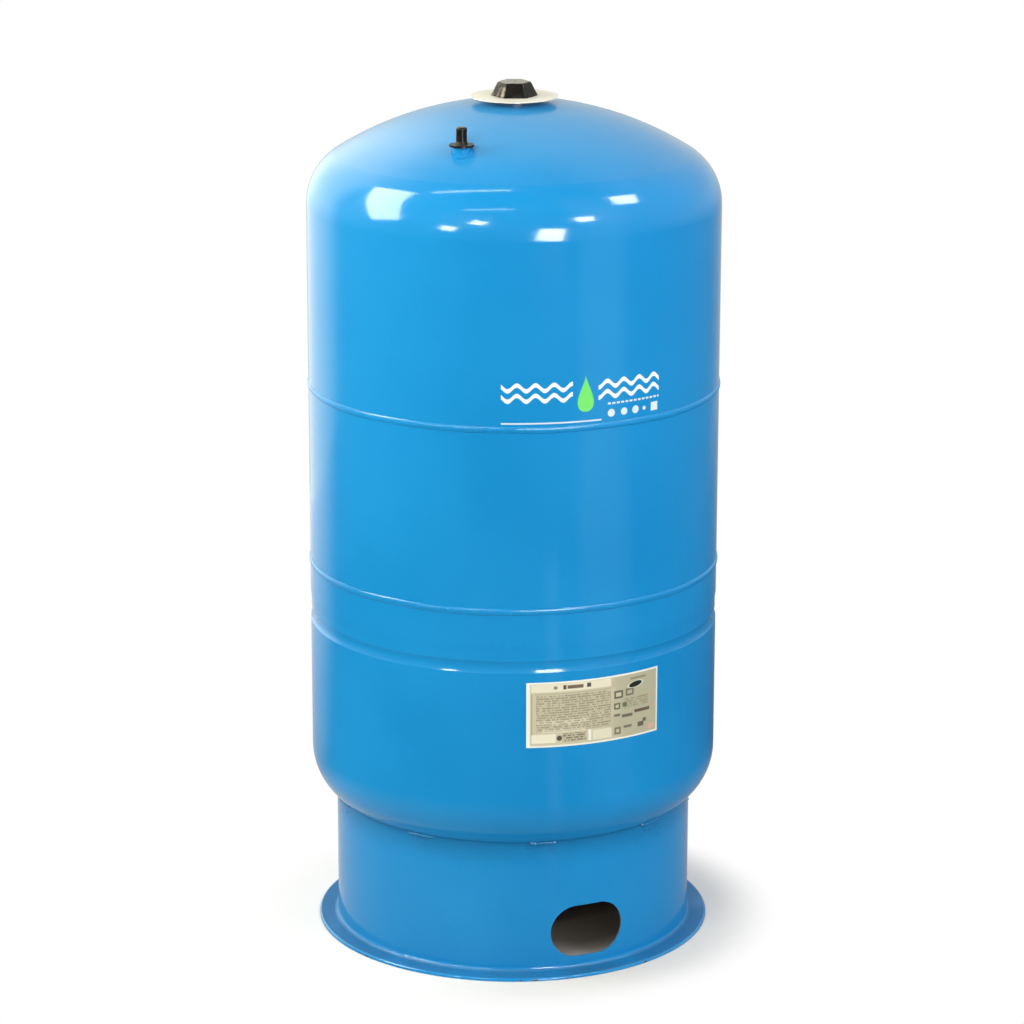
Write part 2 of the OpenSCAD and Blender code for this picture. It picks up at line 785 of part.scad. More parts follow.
top_head();
centre_ring();
bottom_head();
upper_girth_weld();
lower_girth_weld();
ring_seam_weld();
base_skirt();
skirt_welds();
water_elbow();
elbow_weld();
liner();
liner_o_ring();
water_diffuser();
diaphragm();
clamp_hoop();
plug_spud();
plug_o_ring();
top_washer();
top_plug();
valve_boss();
boss_weld();
valve_stem();
valve_core();
core_gasket();
valve_pin();
pin_seal();
valve_spring();
valve_cap();
cap_o_ring();
rating_label();
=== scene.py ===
# %% [markdown]
# # Well pressure tank
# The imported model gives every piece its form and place. This script gives the pieces their finishes, adds
# what is too fine for the solids, such as the ripples of the weld beads, and sets up a plain studio.

# %% The frame and its size
import math

import bpy
import numpy as np
from mathutils import Matrix, Vector


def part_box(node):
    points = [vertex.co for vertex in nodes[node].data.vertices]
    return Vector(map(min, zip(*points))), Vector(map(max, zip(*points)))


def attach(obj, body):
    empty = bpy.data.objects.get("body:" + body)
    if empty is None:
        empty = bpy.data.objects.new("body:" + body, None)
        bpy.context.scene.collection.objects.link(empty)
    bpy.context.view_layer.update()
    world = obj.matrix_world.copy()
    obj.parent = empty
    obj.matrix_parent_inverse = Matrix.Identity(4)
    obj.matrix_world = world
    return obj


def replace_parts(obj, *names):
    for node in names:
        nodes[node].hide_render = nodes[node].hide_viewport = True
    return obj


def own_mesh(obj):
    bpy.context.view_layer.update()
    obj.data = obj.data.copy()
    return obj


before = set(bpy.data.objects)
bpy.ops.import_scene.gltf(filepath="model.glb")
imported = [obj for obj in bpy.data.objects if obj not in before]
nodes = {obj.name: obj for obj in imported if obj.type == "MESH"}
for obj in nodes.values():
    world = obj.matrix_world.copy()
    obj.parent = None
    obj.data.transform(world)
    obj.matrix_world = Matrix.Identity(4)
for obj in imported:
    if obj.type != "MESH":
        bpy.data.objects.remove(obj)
bpy.context.scene.view_settings.view_transform = "Standard"
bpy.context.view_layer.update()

# %% [markdown]
# ## Camera
# It stands where a fit to the seams, the skirt, the foot and the top puts it: 3.57 m away and 1.4 m above
# the floor, with a long lens, so that the sides of the tank stay almost parallel. The pipe port is to the
# right of the middle, and the horizon leans by a tenth of a degree, as from a tripod that isn't quite level.

# %% Camera
CAMERA_PLACE = Vector((-1.480, -3.247, 1.398))
CAMERA_PITCH = 0.2711
CAMERA_ROLL = math.radians(0.11)
FOCUS_PX = 3855.2  # focal length, in pixels of the frame
FRAME_PX = 1024
AXIS_PX = 513.5  # where the lens points, across the frame
SENSOR_MM = 36
CLIP_END = 50

camera = bpy.data.objects.new("camera", bpy.data.cameras.new("camera"))
bpy.context.scene.collection.objects.link(camera)
camera.data.sensor_width = SENSOR_MM
camera.data.lens = FOCUS_PX * SENSOR_MM / FRAME_PX
camera.data.shift_x = (FRAME_PX / 2 - AXIS_PX) / FRAME_PX
camera.data.clip_end = CLIP_END
camera.location = CAMERA_PLACE
towards = math.atan2(CAMERA_PLACE.x, -CAMERA_PLACE.y)
camera.rotation_euler = (math.pi / 2 - CAMERA_PITCH, 0, towards)
camera.rotation_euler.rotate_axis("Z", CAMERA_ROLL)
bpy.context.scene.camera = camera
print("lens", round(camera.data.lens, 1), "mm")

# %% [markdown]
# ## Shader arithmetic
# Every finish here is a formula on the place of a point on the tank, in metres. A Wire is one value in a
# material's node tree. Arithmetic on wires adds Math nodes, so that a formula reads as it would on paper.
# Colours mix through blend, because a Math node turns a colour grey.


# %% Wire
MIX_SHARE, MIX_FIRST, MIX_SECOND, MIX_COLOUR = 0, 6, 7, 2  # sockets of a Mix node that is set to colours


class Wire:
    """A number, vector or colour socket in a node tree, with arithmetic."""

    def __init__(self, tree, socket):
        self.tree, self.socket = tree, socket

    def node(self, kind, inputs=(), out=0, **props):
        """Adds a node with its properties and its inputs, by order or name, and returns one output."""
        made = self.tree.nodes.new(kind)
        for name, value in props.items():
            setattr(made, name, value)
        pairs = inputs.items() if isinstance(inputs, dict) else enumerate(inputs)
        for key, value in pairs:
            if isinstance(value, Wire):
                self.tree.links.new(value.socket, made.inputs[key])
            elif value is not None:
                made.inputs[key].default_value = value
        return Wire(self.tree, made.outputs[out])

    def maths(self, operation, *others):
        return self.node("ShaderNodeMath", (self, *others), operation=operation)

    def __add__(self, other): return self.maths("ADD", other)
    def __sub__(self, other): return self.maths("SUBTRACT", other)
    def __mul__(self, other): return self.maths("MULTIPLY", other)
    def __truediv__(self, other): return self.maths("DIVIDE", other)
    def __gt__(self, other): return self.maths("GREATER_THAN", other)
    def __lt__(self, other): return self.maths("LESS_THAN", other)
    def __pow__(self, other): return self.maths("POWER", other)
    def __neg__(self): return self * -1.0
    def __radd__(self, other): return self + other
    def __rmul__(self, other): return self * other
    def __rsub__(self, other): return -self + other

    def sine(self): return self.maths("SINE")
    def size(self): return self.maths("ABSOLUTE")
    def high(self, other): return self.maths("MAXIMUM", other)
    def share(self): return self.maths("FRACT")
    def whole(self): return self.maths("FLOOR")

    def ramp(self, start, end, low=0.0, high=1.0):
        """Runs smoothly from low at start to high at end."""
        return self.node("ShaderNodeMapRange", (self, start, end, low, high), interpolation_type="SMOOTHSTEP")

    def within(self, low, high, soft):
        """1 between low and high, with soft edges."""
        return self.ramp(low - soft, low + soft) * self.ramp(high + soft, high - soft)

    def blend(self, first, second):
        """Mixes two colours by this wire."""
        return self.node("ShaderNodeMix", {MIX_SHARE: self, MIX_FIRST: first, MIX_SECOND: second},
                         out=MIX_COLOUR, data_type="RGBA")


def srgb(red, green, blue):
    """Colour of a screen pixel, 0 to 255, as the linear RGBA that shaders take, by the sRGB curve."""
    share = np.array([red, green, blue]) / 255
    linear = np.where(share <= 0.04045, share / 12.92, ((share + 0.055) / 1.055) ** 2.4)
    return (*[float(c) for c in linear], 1.0)


def new_material(name):
    """A material with a Principled shader on its output, and a wire with the place on the object."""
    material = bpy.data.materials.new(name)
    material.use_nodes = True
    tree = material.node_tree
    tree.nodes.clear()
    shader = tree.nodes.new("ShaderNodeBsdfPrincipled")
    output = tree.nodes.new("ShaderNodeOutputMaterial")
    tree.links.new(shader.outputs[0], output.inputs["Surface"])
    place = Wire(tree, tree.nodes.new("ShaderNodeTexCoord").outputs["Object"])
    return material, shader, place


def feed(shader, **inputs):
    """Sets or links the shader's inputs; an underscore in a name stands for a space."""
    for name, value in inputs.items():
        socket = shader.inputs[name.replace("_", " ")]
        if isinstance(value, Wire):
            value.tree.links.new(value.socket, socket)
        else:
            socket.default_value = value


def parts(vector):
    """x, y and z of a vector wire."""
    made = vector.node("ShaderNodeSeparateXYZ", (vector,))
    return [Wire(vector.tree, socket) for socket in made.socket.node.outputs]


def faces_up(place):
    """1 where the surface faces straight up and 0 on a wall: the height of its normal."""
    return parts(place.node("ShaderNodeNewGeometry", out="Normal"))[2]


def noise(place, scale, detail=2.0):
    """Soft noise between 0 and 1 with scale cells to the metre."""
    return place.node("ShaderNodeTexNoise", {"Vector": place, "Scale": scale, "Detail": detail})


def stretched(place, x, y, z):
    """The place with its axes scaled, which draws noise out into streaks."""
    return place.node("ShaderNodeVectorMath", (place, (x, y, z)), operation="MULTIPLY")


def bump(height, distance, under=None):
    """Normal of a height field; distance is the height in metres of a value of 1."""
    return height.node("ShaderNodeBump", {"Height": height, "Strength": 1.0, "Distance": distance,
                                          "Normal": under})


def dress(material, *names):
    """Puts the material on the named nodes of the model."""
    for name in names:
        nodes[name].data.materials.clear()
        nodes[name].data.materials.append(material)


print("shader helpers ready")

# %% [markdown]
# ## Enamel
# The real shell is sprayed with glossy sky-blue enamel after welding. The paint has a faint orange peel, soft
# waves from the rolled sheet, a few dust nibs, and chips along the foot where the tank is dragged. A thin
# film of dust lies on the crown. Grime and painted shade darken the flange of the foot, and painted shade
# darkens the corner under the bottom head. Inside the skirt there is only a thin grey-brown coat. All of it
# can be painted from the place of a point, so one material serves the shell. The solid's clamp groove turns
# up a little more steeply than the real one, so a bump over that band eases its shading, and its form stays.

# %% Enamel
TANK_R = 0.19525
SKIRT_R, SKIRT_WALL = 0.17175, 0.0012
WALL_Z = 0.17704
ENAMEL_DEEP = srgb(22, 136, 202)
ENAMEL_PALE = srgb(27, 141, 207)
SKIRT_INSIDE = srgb(150, 132, 110)
BARE_STEEL = srgb(58, 66, 74)
# Dark blue of the grime and painted shade on the foot's flange, and of the painted shade under the bottom
# head
GRIME_AND_SHADE = srgb(12, 92, 140)
DUST = srgb(186, 206, 186)
DUST_ABOVE = 0.5
CHIPS_TOP, CHIPS_FULL = 0.0024, 0.0012
FLANGE_SPAN, FLANGE_TOP, FLANGE_FULL = (0.1725, 0.1890), 0.012, 0.007
CORNER_SHADE_SPAN, CORNER_SHADE_FROM, CORNER_SHADE_FULL, CORNER_SHADE_TOP = (0.1700, 0.1750), 0.104, 0.131, 0.14
GROOVE_BAND, GROOVE_EASE = (0.2850, 0.3400), 0.6
PAINT_RELIEF = 0.00005


def enamel(name, print_on=None):
    """Enamel; print_on takes the paint's colour and the coordinates and returns the printed colour."""
    material, shader, place = new_material(name)
    x, y, z = parts(place)
    far = (x * x + y * y) ** 0.5
    colour = noise(place, 6.0).ramp(0.35, 0.65).blend(ENAMEL_DEEP, ENAMEL_PALE)
    film = faces_up(place).ramp(0.80, 0.97) * (z > DUST_ABOVE)
    dust = film * (0.03 + noise(place, 60.0, 5.0) * 0.04)
    colour = dust.blend(colour, DUST)
    if print_on:
        colour = print_on(colour, place, x, y, z)
    chips = z.ramp(CHIPS_TOP, CHIPS_FULL) * noise(place, 190.0, 3.0).ramp(0.62, 0.65)
    colour = chips.blend(colour, BARE_STEEL)
    # The flange of the foot and its fillet: grime, and painted shade where the shell overhangs them
    flange_grime_and_shade = far.within(*FLANGE_SPAN, 0.0006) * z.ramp(FLANGE_TOP, FLANGE_FULL)
    flange_grime_and_shade = flange_grime_and_shade * noise(place, 18.0).ramp(0.3, 0.6, 0.7, 1.0)
    # Painted shade on the top of the skirt, in the corner under the bottom head
    corner = far.within(*CORNER_SHADE_SPAN, 0.0005) * z.ramp(CORNER_SHADE_FROM, CORNER_SHADE_FULL) * (z < CORNER_SHADE_TOP)
    colour = (flange_grime_and_shade * 0.7 + corner * 0.38).blend(colour, GRIME_AND_SHADE)
    inside = (far < SKIRT_R - SKIRT_WALL) * (z < WALL_Z)
    colour = inside.blend(colour, SKIRT_INSIDE)
    peel = noise(place, 240.0)
    waves = noise(stretched(place, 1.0, 1.0, 0.25), 26.0, 1.0)
    nibs = noise(place, 800.0, 0.0).ramp(0.80, 0.88)
    scuffs = noise(stretched(place, 1.0, 1.0, 0.12), 420.0, 3.0).ramp(0.66, 0.80)
    rough = peel.ramp(0.3, 0.7, 0.09, 0.13) + scuffs * 0.10
    rough = rough + film * 0.12 + inside * 0.40 + flange_grime_and_shade * 0.50 + chips * 0.3
    eased = bump((TANK_R - far) * z.within(*GROOVE_BAND, 0.002), GROOVE_EASE)
    relief = bump(peel * 0.4 + waves * 0.5 + nibs * 0.2 - chips, PAINT_RELIEF, eased)
    feed(shader, Base_Color=colour, Roughness=rough, Normal=relief, IOR=1.45)
    return material


blue_enamel = enamel("blue_enamel")
dress(blue_enamel, "centre_ring", "bottom_head", "upper_girth_weld", "lower_girth_weld", "ring_seam_weld",
      "base_skirt", "skirt_welds", "elbow_weld", "valve_boss", "boss_weld")
print("enamel on the shell")

# %% [markdown]
# ## Print on the top head
# A tank of this kind has a white print on the wall of its top head. This one is generic: two water waves on
# either side of a green drop, a row of dashes, a row of plain marks and a thin line. It is drawn flat, with
# the arc length along the wall and the height, both in millimetres, as its two coordinates.

# %% Print on the top head
PRINT_WHITE = srgb(236, 248, 250)
PRINT_GREEN = srgb(118, 226, 112)
WAVES = ((566.2, 2.0), (575.8, 2.0))  # height and half thickness
WAVE_SPANS = ((-95.0, -29.5), (-4.5, 62.0))
WAVE_LENGTH, WAVE_RISE = 17.0, 2.7
DROP_AT, DROP_Z, DROP_HALF, DROP_W, DROP_TIP = -17.0, 568.5, 17.0, 6.0, 0.99
LINE_SPAN, LINE_BAND, LINE_INK = (-95.0, -1.5), (542.2, 543.6), 0.75
DASH_SPAN, DASH_BAND, DASH_INK = (5.0, 62.0), (556.3, 558.0), 0.8
DASH_PITCH, DASH_SHARE = 4.6, (0.06, 0.74)
MARKS = ((8.5, 3.6), (22.0, 3.4), (34.5, 3.6), (44.5, 1.8))  # place along the wall and radius
MARKS_Z, MARKS_INK = 548.2, 0.8
SQUARE_AT, SQUARE_HALF, SQUARE_INK = 56.5, 4.0, 0.85
INK_EDGE = 0.35


def around(x, y):
    """Angle from the port's side, -Y, towards +X, in radians."""
    return x.maths("ARCTAN2", -y)


def head_print(colour, place, x, y, z):
    """Waves are bands about A sin(2 pi u / L). The drop is c (1 - b) sqrt(1 - b^2) wide at the share b of its
    height, from -1 at its foot to 1 at its tip."""
    along = around(x, y) * (TANK_R * 1000)
    height = z * 1000
    white = along.within(*LINE_SPAN, INK_EDGE) * height.within(*LINE_BAND, INK_EDGE) * LINE_INK
    swing = (along * (2 * math.pi / WAVE_LENGTH)).sine() * WAVE_RISE
    sides = sum(along.within(*span, INK_EDGE) for span in WAVE_SPANS)
    for middle, half in WAVES:
        white = white.high((half - (height - middle - swing).size()).ramp(-INK_EDGE, INK_EDGE) * sides)
    dashes = (along / DASH_PITCH).share().within(*DASH_SHARE, 0.06)
    row = along.within(*DASH_SPAN, INK_EDGE) * height.within(*DASH_BAND, INK_EDGE)
    white = white.high(row * dashes * DASH_INK)
    for middle, radius in MARKS:
        out = (((along - middle) ** 2.0) + ((height - MARKS_Z) ** 2.0)) ** 0.5
        white = white.high((radius - out).ramp(-INK_EDGE, INK_EDGE) * MARKS_INK)
    square = (along - SQUARE_AT).size().high((height - MARKS_Z).size())
    white = white.high((SQUARE_HALF - square).ramp(-INK_EDGE, INK_EDGE) * SQUARE_INK)
    share = (height - DROP_Z) / DROP_HALF
    width = (1.0 - share) * ((1.0 - share * share).high(0.0) ** 0.5) * DROP_W
    green = (width - (along - DROP_AT).size()).ramp(-INK_EDGE, INK_EDGE) * (share.size() < DROP_TIP)
    worn = noise(place, 520.0, 3.0).ramp(0.16, 0.34, 0.6, 1.0)
    return (green * worn).blend((white * worn).blend(colour, PRINT_WHITE), PRINT_GREEN)


dress(enamel("blue_enamel_print", head_print), "top_head")
print("print on the top head:", len(MARKS) + 1, "marks,", len(WAVES), "waves")

# %% [markdown]
# ## Rating label
# The label is a beige film with a pale border. A real one is full of small words, so this one has rows of
# plain dashes, bars and boxes where the words would be. Its coordinates are millimetres from its lower left
# corner. The dashes come from white noise on whole numbers: each cell of a grid is ink or bare.

# %% Rating label
LABEL_W, LABEL_H = 136.0, 63.0
LABEL_TURN = math.radians(-1.0)
LABEL_LEFT = LABEL_TURN * TANK_R * 1000 - LABEL_W / 2
LABEL_LOW = 234.04
FILM = srgb(201, 194, 166)
FILM_RIGHT = srgb(182, 178, 152)
FILM_EDGE = srgb(236, 240, 230)
INK = srgb(74, 66, 54)
CREAM = srgb(232, 226, 204)
BROWN = srgb(104, 78, 60)
OCHRE = srgb(166, 142, 106)
GREEN = srgb(70, 92, 48)
CHESTNUT = srgb(84, 60, 48)
CLAY = srgb(206, 158, 128)
PINK = srgb(226, 168, 158)
HAZE = srgb(128, 106, 84)
SEAL_RIM = srgb(214, 226, 206)
SEAL_INK = srgb(24, 26, 20)
ROWS = (  # left, right, low, high, colour, strength
    (4.5, 82.0, 53.5, 61.0, CREAM, 0.9), (25.5, 29.0, 55.8, 58.8, INK, 0.75),
    (34.5, 37.5, 55.2, 59.4, INK, 1.0), (38.5, 54.0, 55.6, 59.0, BROWN, 0.95),
    (57.5, 61.5, 55.6, 59.6, INK, 1.0), (8.0, 82.0, 51.0, 51.8, INK, 0.35),
    (4.5, 5.6, 12.0, 52.0, OCHRE, 0.8), (10.0, 60.0, 21.0, 25.5, CREAM, 0.6),
    (14.0, 56.0, 14.0, 17.5, CREAM, 0.55), (5.0, 27.5, 4.0, 12.5, CREAM, 1.0),
    (59.0, 62.0, 3.5, 14.0, FILM_EDGE, 0.9), (63.5, 83.0, 3.5, 13.0, CREAM, 0.7),
    (85.5, 95.0, 40.0, 47.5, INK, 0.9), (87.3, 93.2, 41.8, 45.7, FILM, 1.0),
    (98.0, 107.0, 41.0, 48.0, INK, 0.75), (99.8, 105.2, 42.8, 46.2, FILM_RIGHT, 1.0),
    (85.5, 92.0, 29.5, 35.5, INK, 0.9), (87.0, 90.5, 31.0, 34.0, FILM, 1.0),
    (94.5, 99.5, 31.0, 35.0, GREEN, 0.85), (85.5, 92.0, 22.5, 25.0, INK, 0.75),
    (94.0, 106.0, 20.5, 23.5, INK, 0.8), (108.0, 126.0, 23.0, 26.0, CHESTNUT, 0.9),
    (86.0, 93.0, 5.0, 12.0, INK, 0.7), (88.0, 91.0, 7.0, 10.0, FILM, 1.0),
    (96.0, 105.0, 10.0, 12.5, INK, 0.75), (112.0, 119.0, 8.5, 13.0, INK, 0.85),
    (118.0, 122.0, 12.5, 16.0, INK, 0.85), (103.0, 121.0, 56.0, 58.0, INK, 0.5),
    (127.0, 131.0, 36.0, 39.0, CLAY, 0.6), (127.0, 131.5, 26.0, 29.0, CLAY, 0.6),
    (125.0, 132.0, 4.0, 9.0, PINK, 0.7),
)
SMALL_PRINT = (  # left, right, low, high, strength
    (9.0, 82.0, 15.0, 50.0, 1.0), (34.0, 57.0, 4.0, 12.5, 1.6), (96.0, 124.0, 29.0, 39.0, 0.8),
)
DASH_W, LINE_H = 1.5, 2.3
BOX_EDGE, BLOCK_EDGE = 0.5, 0.6
SEAL_AT, SEAL_HALF, SEAL_LEAN = (109.0, 51.0), (7.0, 2.9), 0.9
SPOT_AT = (31.0, 8.2)


def label_film():
    """Layers of soft-edged boxes over the film, then fine ink where the noise of a cell is high."""
    material, shader, place = new_material("label_film")
    x, y, z = parts(place)
    along = around(x, y) * (TANK_R * 1000) - LABEL_LEFT
    height = z * 1000 - LABEL_LOW
    tone = noise(place, 60.0, 3.0).ramp(0.3, 0.7, -6.0, 6.0)
    colour = (along + tone).ramp(80.0, 96.0).blend(FILM, FILM_RIGHT)
    for left, right, low, high, shade, strength in ROWS:
        box = along.within(left, right, BOX_EDGE) * height.within(low, high, BOX_EDGE) * strength
        colour = box.blend(colour, shade)
    cell = place.node("ShaderNodeCombineXYZ", ((along / DASH_W).whole(), (height / LINE_H).whole(), 0.0))
    word = place.node("ShaderNodeTexWhiteNoise", {"Vector": cell}, noise_dimensions="3D") > 0.3
    letters = noise(place, 1500.0, 1.0).ramp(0.38, 0.62, 0.35, 1.0)
    line = (height / LINE_H).share().within(0.15, 0.75, 0.1) * letters
    first, second, third = [
        along.within(left, right, BLOCK_EDGE) * height.within(low, high, BLOCK_EDGE) * strength
        for left, right, low, high, strength in SMALL_PRINT]
    block = first.high(second).high(third)
    colour = (block * 0.16).blend(colour, HAZE)
    colour = (word * line * block * 0.62).blend(colour, INK)
    rise = height - SEAL_AT[1]
    seal = ((along - SEAL_AT[0] - rise * SEAL_LEAN) / SEAL_HALF[0]) ** 2.0 + (rise / SEAL_HALF[1]) ** 2.0
    colour = seal.ramp(1.6, 1.3).blend(colour, SEAL_RIM)
    colour = seal.ramp(1.15, 0.85).blend(colour, SEAL_INK)
    spot = ((along - SPOT_AT[0]) ** 2.0 + (height - SPOT_AT[1]) ** 2.0) ** 0.5
    colour = spot.ramp(2.9, 2.2).blend(colour, INK)
    bare = along.within(3.4, LABEL_W - 1.6, 0.4) * height.within(1.6, LABEL_H - 1.6, 0.4)
    colour = bare.blend(FILM_EDGE, colour)
    ripple = noise(place, 90.0, 2.0)
    rough = ripple.ramp(0.3, 0.7, 0.30, 0.42)
    feed(shader, Base_Color=colour, Roughness=rough, Normal=bump(ripple, 0.0002))
    return material


dress(label_film(), "rating_label")
print("label:", len(ROWS), "boxes")

# %% [markdown]
# ## Weld beads
# An arc weld freezes in ripples, like overlapping scales, and its width and height wander a little. The model
# has smooth beads, so rippled skins take their place. Each skin is a closed band of points: a round section,
# carried around the tank or up the long seam, whose height is cut by a wave that bends back towards the
# bead's edges.

# %% Skins from arrays of points
def wander(t, seed, low=3, high=23):
    """Sum of a few sines with whole numbers of waves, between about -1 and 1; t runs from 0 to 1."""
    random = np.random.default_rng(seed)
    counts = np.arange(low, high, 4)
    phases = random.uniform(0, 2 * np.pi, counts.size)
    return np.sin(2 * np.pi * counts * np.asarray(t)[..., None] + phases).sum(-1) / counts.size ** 0.75


def skin(name, bodies, closed_run, material, smooth=True):
    """One mesh from arrays of rings: body[i, j] is point j of ring i; open runs get a face at each end."""
    points, faces, first = [], [], 0
    for body in bodies:
        rings, sides = body.shape[:2]
        i, j = np.arange(rings if closed_run else rings - 1)[:, None], np.arange(sides)[None, :]
        ahead, beside = (i + 1) % rings, (j + 1) % sides
        quads = np.stack([i * sides + j, ahead * sides + j, ahead * sides + beside, i * sides + beside], -1)
        quads = quads.reshape(-1, 4)
        flat = body.reshape(-1, 3)
        middle = flat.mean(0)
        a, b, c, d = (flat[quads[:, k]] - middle for k in range(4))
        volume = (np.cross(a, b) * c).sum() + (np.cross(a, c) * d).sum()
        ends = [list(range(sides))[::-1], list(range((rings - 1) * sides, rings * sides))]
        if closed_run:
            ends = []
        if volume < 0:
            quads, ends = quads[:, ::-1], [end[::-1] for end in ends]
        faces += (quads + first).tolist() + [[k + first for k in end] for end in ends]
        points.append(flat)
        first += len(flat)
    mesh = bpy.data.meshes.new(name)
    mesh.from_pydata(np.concatenate(points).tolist(), [], faces)
    mesh.polygons.foreach_set("use_smooth", np.full(len(mesh.polygons), smooth))
    mesh.materials.append(material)
    mesh.update()
    piece = bpy.data.objects.new(name, mesh)
    bpy.context.scene.collection.objects.link(piece)
    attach(piece, "tank")
    print(name, len(mesh.vertices), "points")
    return piece


# %% Rippled beads
BEAD_W, BEAD_H = 0.007, 0.0013
BEAD_SINK, BEAD_ROOT = 0.00008, 0.0004
BEAD_SPARE = 0.00002
RIPPLE, RIPPLE_RINGS = 0.0024, 5
SEAMS = {"upper_girth_weld": 0.53704, "lower_girth_weld": 0.36504}
SEAM_REACH = 0.0034
RING_SEAM_TURN = math.radians(75)
across = np.concatenate([np.linspace(-1, 1, 11), [0.7, -0.7]])  # over the crown, then back through the root
CROWN = across.size - 2


def bead(t, count, seed):
    """Sideways offset and lift of the section's points along the run t. The lift is a power of 1 - s^2 across
    the bead, cut by count cosine waves whose phase falls back with s^2."""
    t, s = t[:, None], across[None, :]
    crescent = 0.5 + 0.5 * np.cos(2 * np.pi * count * t - 1.8 * s ** 2 + 2.5 * wander(t, seed))
    lift = (1 - s ** 2).clip(0) ** 0.8 * (0.93 + 0.07 * wander(t, seed + 1)) * (1 - 0.14 * crescent ** 1.5)
    lift = lift * BEAD_H - BEAD_SINK
    lift[:, CROWN:] = -BEAD_ROOT
    offset = s * BEAD_W / 2 * (0.93 + 0.07 * wander(t, seed + 2)) + 0.00030 * wander(t, seed + 3)
    return offset, np.minimum(lift, BEAD_H - BEAD_SPARE)


for seed, (name, height) in enumerate(SEAMS.items()):
    count = round(2 * np.pi * TANK_R / RIPPLE)
    t = np.arange(count * RIPPLE_RINGS) / (count * RIPPLE_RINGS)
    offset, lift = bead(t, count, 10 * seed + 4)
    turn = 2 * np.pi * t[:, None]
    radius = TANK_R + lift
    ring = np.stack([radius * np.cos(turn), radius * np.sin(turn), height + offset], -1)
    piece = skin(name.replace("weld", "bead"), [ring], True, blue_enamel)
    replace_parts(piece, name)

seam_low, seam_high = SEAMS["lower_girth_weld"] + SEAM_REACH, SEAMS["upper_girth_weld"] - SEAM_REACH
count = round((seam_high - seam_low) / RIPPLE)
t = np.linspace(0, 1, count * RIPPLE_RINGS)
offset, lift = bead(t, count, 41)
turn = RING_SEAM_TURN + offset / TANK_R
rise = np.broadcast_to((seam_low + (seam_high - seam_low) * t)[:, None], turn.shape)
radius = TANK_R + lift
ring = np.stack([radius * np.cos(turn), radius * np.sin(turn), rise], -1)
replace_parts(skin("ring_seam_bead", [ring], False, blue_enamel), "ring_seam_weld")

# %% [markdown]
# ## Stitches and spatter
# The skirt is held to the bottom head by nine short welds. Each is a lumpy worm that tapers at its ends,
# pressed into the corner. The arc throws out small beads of steel, which stick to the skirt below and are
# painted over.

# %% Stitches and spatter
STITCHES, STITCH_R = 9, 0.0025
STITCH_ARC, STITCH_TURN = math.radians(9.5), math.radians(-15)
FIRST_STITCH = STITCH_TURN - math.pi / 2
STITCH_SINK, ROOF_SINK = 0.0010, 0.0008
STITCH_RINGS, STITCH_SIDES, STITCH_LUMPS = 72, 14, 26
SPATTERS, SPATTER_SIZES, SPATTER_FLAT = 90, (0.0004, 0.0011), 0.65
SPATTER_BELOW, SPATTER_DOWN, SPATTER_ASIDE = 0.0035, 0.0075, 0.055
KNUCKLE_R = 0.055
KNUCKLE_X = TANK_R - KNUCKLE_R
CORNER_Z = WALL_Z - math.sqrt(KNUCKLE_R ** 2 - (SKIRT_R - KNUCKLE_X) ** 2)


def stitch(number):
    """A circle carried round the corner. Its radius tapers as (1 - s^6)^0.5 and swells with the wander."""
    s = np.linspace(-0.999, 0.999, STITCH_RINGS)
    turn = FIRST_STITCH + number * 2 * math.pi / STITCHES + s * STITCH_ARC / 2
    thick = STITCH_R * (1 - s ** 6) ** 0.5 * (0.90 + 0.10 * wander((s + 1) / 2, number + 70, 2, 30))
    thick = thick * (1 - 0.10 * (0.5 + 0.5 * np.cos(s * STITCH_LUMPS)))
    round_it = np.linspace(0, 2 * np.pi, STITCH_SIDES, endpoint=False)[None, :]
    radius = SKIRT_R + STITCH_R / 4 + thick[:, None] * np.cos(round_it)
    height = CORNER_Z - STITCH_R / 8 + thick[:, None] * np.sin(round_it)
    radius = np.maximum(radius, SKIRT_R - STITCH_SINK)
    roof = WALL_Z - np.sqrt(KNUCKLE_R ** 2 - (radius - KNUCKLE_X) ** 2)
    height = np.minimum(height, roof + ROOF_SINK)
    return np.stack([radius * np.cos(turn)[:, None], radius * np.sin(turn)[:, None], height], -1)


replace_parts(skin("skirt_stitches", [stitch(k) for k in range(STITCHES)], False, blue_enamel),
            "skirt_welds")


def spatter(random):
    """A drop on the skirt: half a ball, flattened, with its rim sunk into the wall."""
    turn = FIRST_STITCH + random.integers(STITCHES) * 2 * math.pi / STITCHES + random.normal(0, SPATTER_ASIDE)
    height = CORNER_Z - SPATTER_BELOW - abs(random.normal(0, SPATTER_DOWN))
    size = random.uniform(*SPATTER_SIZES)
    lean = np.linspace(0.12, math.pi / 2 + 0.25, 4)[:, None]
    spin = np.linspace(0, 2 * np.pi, 8, endpoint=False)[None, :]
    out = SPATTER_FLAT * size * np.cos(lean)
    side, up = size * np.sin(lean) * np.cos(spin), size * np.sin(lean) * np.sin(spin)
    radius, angle = SKIRT_R + out, turn + side / SKIRT_R
    return np.stack([radius * np.cos(angle), radius * np.sin(angle), height + up], -1)


random = np.random.default_rng(11)
skin("weld_spatter", [spatter(random) for _ in range(SPATTERS)], False, blue_enamel)
